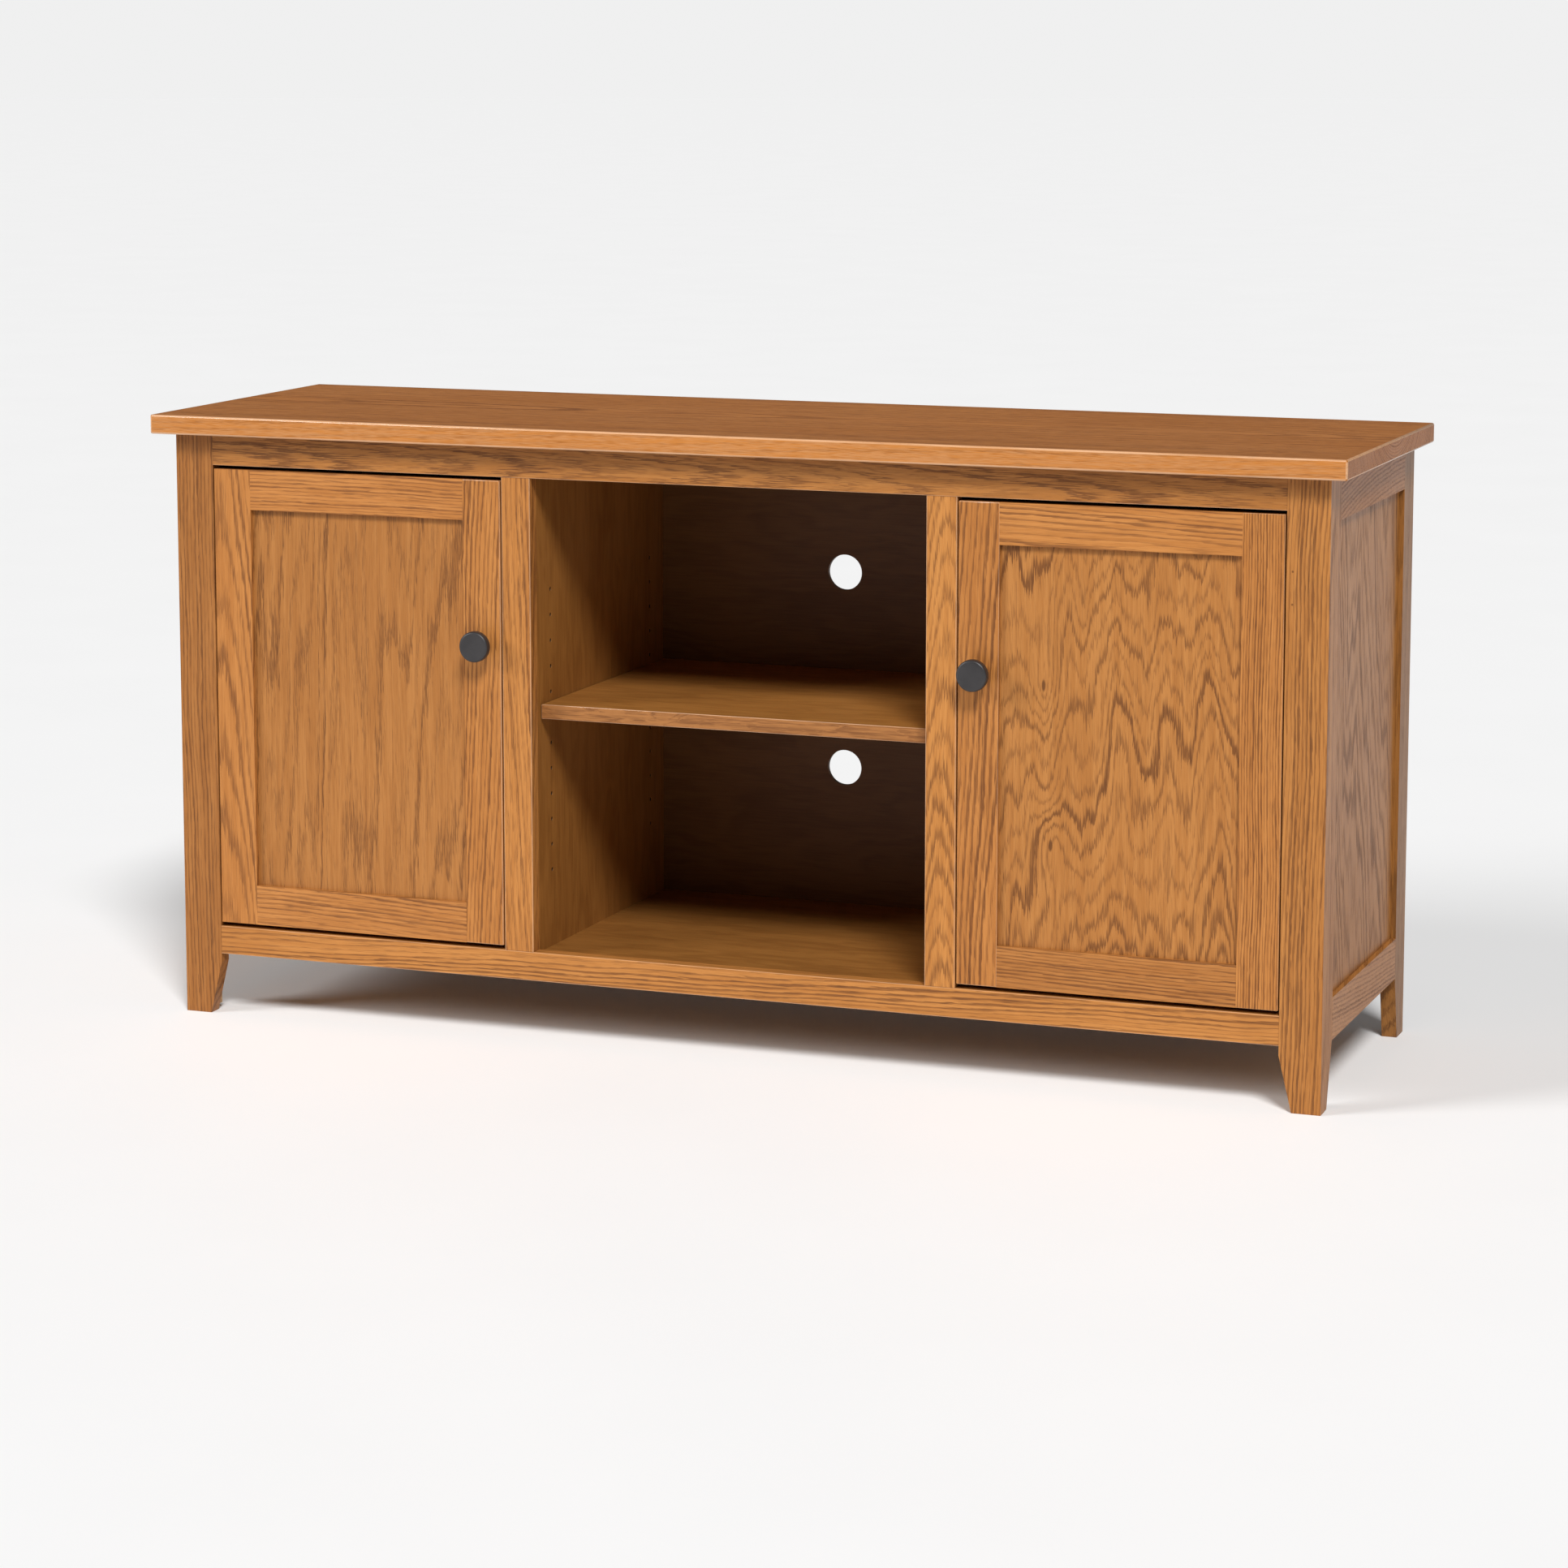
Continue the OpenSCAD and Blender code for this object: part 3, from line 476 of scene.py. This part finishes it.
# node: grain, figure, tone, cuts, seed
OAK = {
    "top_panel": (
        "x", sawn(PLAIN, (-0.12, 0.02), ring=0.0038, climb=4.0, lobe=7, swell=3.0, ragged=1.4,
                  contrast=1.0, gloss=0.1, wear=0.7, lipped=(0.52, 0.25, 0.1)),
        (1.02, 0.93, 0.78), (), 3),
    "left_face_stile": (
        "z", sawn(STRAIGHT, (-0.16, 0.05), contrast=0.8), (0.77, 0.76, 0.77), FACE_CUTS, 5),
    "right_face_stile": (
        "z", sawn(STRAIGHT, (0.2, 0.03), contrast=0.82, nails=((-0.018, 0.262), (-0.018, 0.224))),
        (0.93, 0.95, 0.95), FACE_CUTS, 8),
    "left_centre_stile": (
        "z", sawn(STRAIGHT, (-0.05, 0.03), ring=0.0055, climb=9.0, swell=5.0, flame=2.4,
                  ragged=1.6, contrast=0.85),
        (1.04, 1.06, 1.06), FACE_CUTS, 11),
    "right_centre_stile": (
        "z", sawn(PLAIN, (0.006, 0.018), ring=0.005, climb=22.0, ragged=1.3, contrast=0.8),
        (1.08, 1.12, 1.12), FACE_CUTS, 14),
    "face_top_rail": (
        "x", sawn(PLAIN, (0.012, 0.04), ring=0.0036, climb=10.0, swell=3.4, flame=1.5,
                  ragged=1.8, contrast=0.9),
        (0.87, 0.89, 0.91), STILE_CUTS, 17),
    "face_bottom_rail": (
        "x", sawn(PLAIN, (-0.05, 0.03), ring=0.0045, climb=5.0, swell=3.0),
        (1.04, 1.07, 1.08), STILE_CUTS, 20),
    "left_door_hinge_stile": (
        "z", sawn(PLAIN, (-0.022, 0.03), climb=10.0), (1.0, 1.0, 1.02), DOOR_CUTS, 23),
    "left_door_lock_stile": (
        "z", sawn(STRAIGHT, (0.09, 0.04), climb=8.0, ring=0.005), NO_TONE, DOOR_CUTS, 26),
    "left_door_top_rail": (
        "x", sawn(STRAIGHT, (-0.07, 0.04), ring=0.0036), (1.04, 1.05, 1.12), (), 29),
    "left_door_bottom_rail": (
        "x", sawn(STRAIGHT, (0.05, 0.03), ring=0.0045, climb=7.0), (1.02, 1.04, 1.12), (), 32),
    "left_door_panel": (
        "z", sawn(WILD, (0.3, 0.1), ring=0.022, climb=6.0, lobe=13, reach=0.7, swell=8.0,
                  flame=3.4, ragged=1.3, early=0.28, contrast=0.85),
        (0.85, 0.87, 0.91), (), 35),
    "right_door_lock_stile": (
        "z", sawn(STRAIGHT, (0.06, 0.05), climb=9.0), (0.98, 0.97, 0.97), DOOR_CUTS, 38),
    "right_door_hinge_stile": (
        "z", sawn(STRAIGHT, (0.25, 0.02), ring=0.0034, swell=1.2), NO_TONE, DOOR_CUTS, 41),
    "right_door_top_rail": (
        "x", sawn(PLAIN, (0.045, 0.04), ring=0.0044, climb=8.0, swell=3.0),
        (1.05, 1.07, 1.12), (), 44),
    "right_door_bottom_rail": (
        "x", sawn(STRAIGHT, (0.07, 0.04), climb=5.0, ring=0.0036), (0.88, 0.88, 0.91), (), 47),
    "right_door_panel": (
        "z", sawn(WILD, (0.3, 0.1), knots=RIGHT_KNOTS), (0.92, 0.95, 0.98), (), 50),
}
SIDE_TONE = (0.92, 0.95, 1.0)
for side, seed in (("left", 60), ("right", 80)):
    OAK[side + "_side_front_stile"] = (
        "side z", sawn(STRAIGHT, (0.2, 0.03), contrast=0.8), SIDE_TONE, SIDE_CUTS, seed)
    # The back stiles are toned darker as painted shade, where less light falls at the back
    OAK[side + "_side_back_stile"] = (
        "side z", sawn(STRAIGHT, (-0.15, 0.04), contrast=0.8), (0.67, 0.71, 0.7),
        SIDE_CUTS, seed + 3)
    OAK[side + "_side_top_rail"] = (
        "y", sawn(STRAIGHT, (0.12, 0.3), slant=0.3, contrast=0.75), (0.9, 0.88, 0.85), (), seed + 6)
    OAK[side + "_side_bottom_rail"] = (
        "y", sawn(STRAIGHT, (0.14, -0.3), slant=0.22, contrast=0.7), SIDE_TONE, (), seed + 9)
    OAK[side + "_side_panel"] = (
        "side z", sawn(WILD, (0.3, 0.1), ring=0.03, climb=12.0, reach=0.9, swell=11.0, flame=5.0,
                       contrast=0.75),
        (0.85, 0.87, 0.82), (), seed + 12)

for node, (grain, figure, tone, cuts, seed) in OAK.items():
    material = oak("oak_" + node, node, grain, figure, tone, seed)
    easing = {"top_panel": 2.2 * MM}.get(node, 1.1 * MM)
    eased(node, node + "_board", material, easing, JOINT_EASING, cuts)

# ---------------------------------------------------------------- plywood and strips inside

PLY = {
    "left_divider": ("z", 1), "right_divider": ("z", 4), "floor_panel": ("x", 7), "back_panel": ("x", 10),
    "front_stretcher": ("x", 13), "back_stretcher": ("x", 16), "left_shelf": ("x", 19),
    "right_shelf": ("x", 22), "centre_shelf": ("x", 25),
}
# The back panel, the floor panel and the left divider are toned darker as painted shade inside the cabinet
PLY_TONES_WITH_PAINTED_SHADE = {
    "back_panel": (0.42, 0.4, 0.42), "floor_panel": (0.86, 0.86, 0.86),
    "left_divider": (0.96, 0.95, 0.95),
}
for node, (grain, seed) in PLY.items():
    material = stained_ply("stained_" + node, node, grain, PLY_TONES_WITH_PAINTED_SHADE.get(node, NO_TONE), seed)
    eased(node, node + "_ply", material, 0.7 * MM, JOINT_EASING, ())

for node in ("floor_cleats", "foot_blocks", "shelf_cleats"):
    eased(node, node + "_pine", pine, 0.6 * MM, JOINT_EASING, ())

# ---------------------------------------------------------------- hardware

for node in frame["nodes"]:
    if node.endswith(("screws", "screw", "pins", "strike_plate", "hinge_cups", "hinge_arms", "supports")):
        eased(node, node + "_steel", zinc, 0.2 * MM, 0.05 * MM, ())
eased("magnetic_catches", "magnetic_catch_bodies", white_plastic, 0.6 * MM, JOINT_EASING, ())
eased("catch_magnets", "catch_magnet_bars", ferrite, 0.2 * MM, 0.1 * MM, ())


def pull_out(distance, radius):
    """Carries the selected round face forward and brings it to a radius."""
    bpy.ops.mesh.extrude_region_move(TRANSFORM_OT_translate={"value": (0, -distance, 0)})
    widen(radius)


def widen(radius):
    """Brings the selected round face to a radius about its own middle."""
    mesh = bpy.context.edit_object.data
    bpy.context.edit_object.update_from_editmode()
    points = [v.co for v in mesh.vertices if v.select]
    middle = sum(points, Vector()) / len(points)
    now = max((p - middle).length for p in points)
    share = radius / now
    bpy.ops.transform.resize(value=(share, share, share), center_override=middle)


def knob(node, name):
    """A turned knob: a small foot, a neck, and a flat disc with a rounded rim."""
    low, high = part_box(node)
    middle = (low + high) / 2
    bpy.ops.object.select_all(action="DESELECT")
    bpy.ops.mesh.primitive_circle_add(
        vertices=72, radius=8 * MM, fill_type="NGON", location=(middle.x, high.y, middle.z),
        rotation=(QUARTER, 0, 0))
    piece = bpy.context.object
    piece.name = name
    bpy.ops.object.transform_apply(location=True, rotation=True, scale=True)
    bpy.ops.object.mode_set(mode="EDIT")
    bpy.ops.mesh.select_all(action="SELECT")

    # Places forward of the door and radii there, in millimetres
    disc = (high.x - low.x) / 2 / MM
    depth = (high.y - low.y) / MM
    back = depth - 11
    shape = [
        (1.6, 8.0), (2.0, 7.6), (2.6, 6.2), (3.6, 5.5), (back - 3.5, 5.5), (back - 1.8, 6.6),
        (back - 0.8, 8.6), (back - 0.2, 12.0), (back, disc - 1.6), (back + 0.5, disc - 0.5),
        (back + 1.6, disc),
    ]
    rim = 3.0
    for step in range(7):
        angle = QUARTER * step / 6
        shape.append((depth - rim + rim * math.sin(angle), disc - rim + rim * math.cos(angle)))
    reached = 0.0
    for place, radius in shape:
        pull_out((place - reached) * MM, radius * MM)
        reached = place
    bpy.ops.mesh.inset(thickness=3 * MM)
    bpy.ops.object.mode_set(mode="OBJECT")
    bpy.ops.object.shade_smooth_by_angle(angle=math.radians(40))
    piece.data.materials.append(graphite)
    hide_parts(node)
    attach(piece, frame["nodes"][node]["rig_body"])


for side in ("left", "right"):
    knob(side + "_door_knob", side + "_turned_knob")

# ---------------------------------------------------------------- floor, light and camera

bpy.ops.object.select_all(action="DESELECT")
bpy.ops.mesh.primitive_plane_add(size=1200.0, location=(0, 0, 0))
floor = bpy.context.object
floor.name = "studio_floor"
floor_finish = Finish("pale_floor", Roughness=0.6)
x, y, z = floor_finish.place((0, 0, 0))
mottle = floor_finish.noise(x * 3, y * 3, z, 3.0)
floor_finish.feed("Base Color", floor_finish.blend(mottle, (0.93, 0.93, 0.93), (0.96, 0.96, 0.96)))
floor.data.materials.append(floor_finish.material)

# A curtain all round, which only the camera sees: it curves up from the floor without a line
BACKDROP_REACH = 55.0
BACKDROP_STEPS = ((0.4, 57.0), (1.0, 58.0), (16.0, 58.5))

bpy.ops.object.select_all(action="DESELECT")
bpy.ops.mesh.primitive_circle_add(
    vertices=96, radius=BACKDROP_REACH, fill_type="NOTHING", location=(0, 0, 0))
backdrop = bpy.context.object
backdrop.name = "studio_backdrop"
bpy.ops.object.mode_set(mode="EDIT")
bpy.ops.mesh.select_all(action="SELECT")
reached = BACKDROP_REACH
for rise, reach in BACKDROP_STEPS:
    bpy.ops.mesh.extrude_region_move(TRANSFORM_OT_translate={"value": (0, 0, rise)})
    wider = reach / reached
    bpy.ops.transform.resize(value=(wider, wider, 1.0), center_override=(0, 0, 0))
    reached = reach
bpy.ops.object.mode_set(mode="OBJECT")
backdrop_finish = Finish("pale_backdrop", Roughness=1.0, Specular_IOR_Level=0.0, Emission_Strength=1.0)
backdrop_finish.shader.inputs["Base Color"].default_value = (0, 0, 0, 1)
backdrop_finish.shader.inputs["Emission Color"].default_value = (0.87, 0.87, 0.87, 1)
backdrop.data.materials.append(backdrop_finish.material)
for ray in ("diffuse", "glossy", "transmission", "volume_scatter", "shadow"):
    setattr(backdrop, "visible_" + ray, False)

scene = bpy.context.scene
world = bpy.data.worlds.new("studio")
scene.world = world
world.use_nodes = True
sky = world.node_tree
sky.nodes.clear()
glow = sky.nodes.new("ShaderNodeBackground")
glow.inputs["Color"].default_value = (1, 1, 1, 1)
glow.inputs["Strength"].default_value = 0.15
sky_out = sky.nodes.new("ShaderNodeOutputWorld")
sky.links.new(glow.outputs[0], sky_out.inputs["Surface"])


def soft_sun(name, source, strength, spread):
    """Even light that comes from a direction, with soft shadows."""
    light = bpy.data.lights.new(name, "SUN")
    light.energy = strength
    light.angle = math.radians(spread)
    holder = bpy.data.objects.new(name, light)
    holder.rotation_euler = Vector(source).to_track_quat("Z", "Y").to_euler()
    scene.collection.objects.link(holder)


soft_sun("left_window_light", (-0.74, -0.55, 0.42), 1.7, 22)
soft_sun("front_ceiling_light", (0.36, -0.6, 0.71), 3.0, 16)

CAMERA_PITCH = 7.927
CAMERA_TURN = 20.673

lens = bpy.data.cameras.new("product_camera")
lens.lens = 97.18
lens.sensor_width = 36.0
lens.shift_y = -0.12
lens.clip_end = 1500.0
camera = bpy.data.objects.new("product_camera", lens)
camera.location = (1.8395, -4.8790, 1.2699)
camera.rotation_euler = (QUARTER - math.radians(CAMERA_PITCH), 0, math.radians(CAMERA_TURN))
scene.collection.objects.link(camera)
scene.camera = camera
scene.view_settings.view_transform = "Standard"
